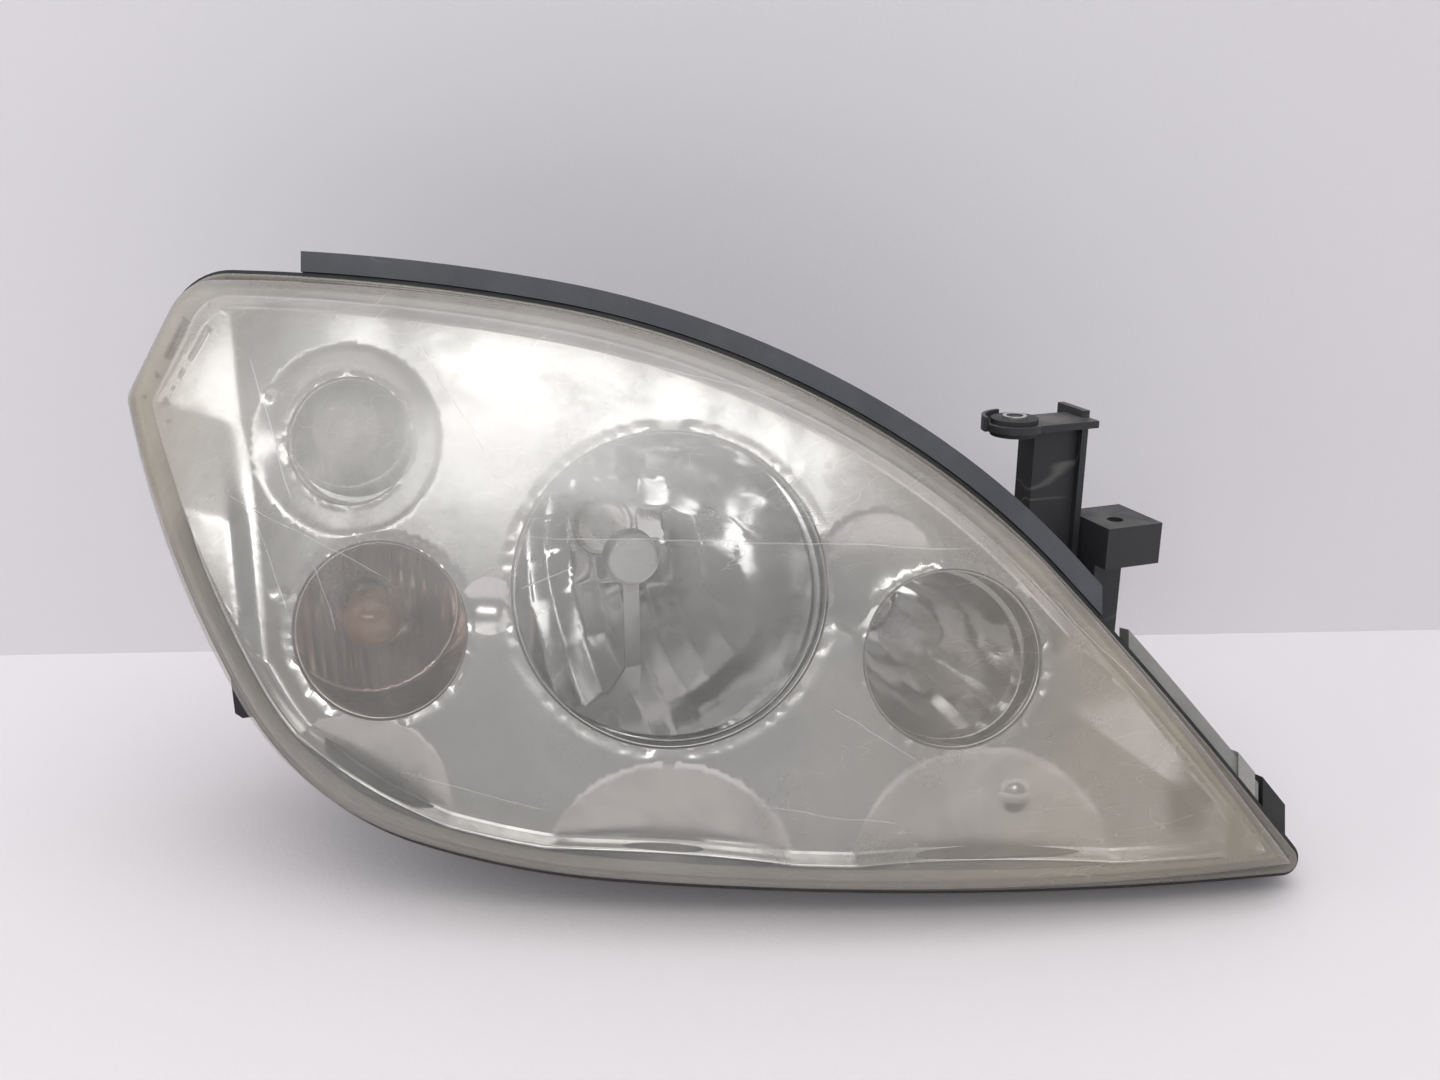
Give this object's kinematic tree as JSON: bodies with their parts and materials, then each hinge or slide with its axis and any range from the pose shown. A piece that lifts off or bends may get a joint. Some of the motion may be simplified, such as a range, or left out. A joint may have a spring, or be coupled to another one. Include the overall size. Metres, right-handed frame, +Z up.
{
  "type": "car headlight assembly",
  "caption": "Right-hand halogen car headlight: leaf-shaped clear lens over low beam, high beam, turn and position bowls, with aiming gear, rear covers and black mounting brackets.",
  "frame": {"origin": "middle of the overall box in X and Y, on the floor that the lamp stands on", "axes": "+Z up, light leaves along -Y, +X towards the middle of the vehicle, so the pointed inner end of the lens is at +X"},
  "size_m": [0.4294, 0.2645, 0.2448],
  "materials": {
    "housing_plastic": "moulded polypropylene, fine grain",
    "clear_lens": "clear polycarbonate, hazed and yellowed at the edges",
    "sealant": "butyl bead",
    "satin_metallised": "plastic metallised satin silver",
    "bright_metallised": "plastic metallised to a bright mirror",
    "dark_rubber": "weathered dark rubber",
    "grey_strip": "grey foam strip",
    "bright_steel": "zinc plated steel",
    "inner_plastic": "glass filled nylon",
    "pale_nylon": "natural nylon",
    "plug_plastic": "moulded plug",
    "cover_plastic": "moulded cover, fine grain",
    "bulb_glass": "clear bulb glass",
    "amber_glass": "amber bulb glass, browned",
    "fluted_clear": "clear fluted plastic",
    "contact_metal": "tinned brass pins"
  },
  "bodies": {
    "lamp": {"housing": "housing_plastic", "lens": "clear_lens", "lens_sealant": "sealant", "bezel": "satin_metallised", "weatherstrip": "dark_rubber", "edge_strip": "grey_strip", "spring_clip": "bright_steel", "upper_bracket": "housing_plastic", "bracket_bush": "dark_rubber", "bracket_sleeve": "bright_steel", "box_tab": "housing_plastic", "bracket_screws": "bright_steel", "outer_tab": "housing_plastic", "outer_tab_screws": "bright_steel", "turn_reflector": "bright_metallised", "position_reflector": "bright_metallised", "position_inner_lens": "fluted_clear", "pivot_stud": "pale_nylon", "levelling_motor": "inner_plastic", "motor_seal": "dark_rubber", "adjuster_bush": "pale_nylon", "electrical_inlet": "inner_plastic", "inlet_pins": "contact_metal", "vent_cap": "housing_plastic"},
    "aim_socket": {"pivot_socket": "pale_nylon"},
    "reflectors": {"reflector_carrier": "inner_plastic", "low_beam_reflector": "bright_metallised", "high_beam_reflector": "bright_metallised", "reflector_screws": "bright_steel", "bulb_shield": "bright_steel", "low_bulb_glass": "bulb_glass", "low_bulb_base": "bright_steel", "low_bulb_plug": "plug_plastic", "high_bulb_glass": "bulb_glass", "high_bulb_base": "bright_steel", "high_bulb_plug": "plug_plastic"},
    "low_clip": {"low_bulb_clip": "bright_steel"},
    "high_clip": {"high_bulb_clip": "bright_steel"},
    "level_rod": {"motor_spindle": "pale_nylon"},
    "side_rod": {"adjuster_spindle": "pale_nylon"},
    "side_gear": {"adjuster_gear": "pale_nylon"},
    "low_cap": {"low_cover": "cover_plastic", "low_cover_seal": "dark_rubber"},
    "high_cap": {"high_cover": "cover_plastic", "high_cover_seal": "dark_rubber"},
    "turn_lamp": {"turn_socket": "inner_plastic", "turn_bulb_base": "bright_steel", "turn_bulb_glass": "amber_glass"},
    "position_lamp": {"position_socket": "inner_plastic", "position_bulb": "bulb_glass"}
  },
  "joints": [
    {"name": "aim_side", "type": "hinge", "parent": "lamp", "child": "aim_socket", "pos_m": [-0.083, 0.0725, 0.04523], "axis": [0, 0, 1], "range_deg": [-1.5, 1.5]},
    {"name": "aim_height", "type": "hinge", "parent": "aim_socket", "child": "reflectors", "pos_m": [-0.083, 0.0725, 0.04523], "axis": [1, 0, 0], "range_deg": [-2, 2]},
    {"name": "level_rod_slide", "type": "slide", "parent": "lamp", "child": "level_rod", "axis": [0, 1, 0], "range_m": [-0.005, 0.005]},
    {"name": "side_rod_slide", "type": "slide", "parent": "lamp", "child": "side_rod", "axis": [0, 1, 0], "range_m": [-0.0031, 0.0031]},
    {"name": "side_gear_turn", "type": "hinge", "parent": "lamp", "child": "side_gear", "pos_m": [0.029, 0.0965, 0.04523], "axis": [0, 1, 0], "range_deg": [-265, 265]},
    {"name": "low_cap_turn", "type": "hinge", "parent": "lamp", "child": "low_cap", "pos_m": [-0.023, 0.1065, 0.11823], "axis": [0, 1, 0], "range_deg": [0, 40]},
    {"name": "high_cap_turn", "type": "hinge", "parent": "lamp", "child": "high_cap", "pos_m": [0.085, 0.0885, 0.08623], "axis": [0, 1, 0], "range_deg": [0, 40]},
    {"name": "turn_lamp_turn", "type": "hinge", "parent": "lamp", "child": "turn_lamp", "pos_m": [-0.129, 0.1165, 0.09923], "axis": [0, 1, 0], "range_deg": [0, 45]},
    {"name": "position_lamp_turn", "type": "hinge", "parent": "lamp", "child": "position_lamp", "pos_m": [-0.131, 0.1165, 0.17323], "axis": [0, 1, 0], "range_deg": [0, 45]},
    {"name": "low_clip_swing", "type": "hinge", "parent": "reflectors", "child": "low_clip", "pos_m": [-0.023, 0.0891, 0.13823], "axis": [1, 0, 0], "range_deg": [0, 45]},
    {"name": "high_clip_swing", "type": "hinge", "parent": "reflectors", "child": "high_clip", "pos_m": [0.085, 0.0361, 0.10623], "axis": [1, 0, 0], "range_deg": [0, 90]}
  ],
  "couplings": [
    {"joint": "level_rod_slide", "follows": "aim_height", "m_per_rad": -0.139},
    {"joint": "side_rod_slide", "follows": "aim_side", "m_per_rad": 0.112},
    {"joint": "side_gear_turn", "follows": "aim_side", "ratio": 175.93}
  ]
}
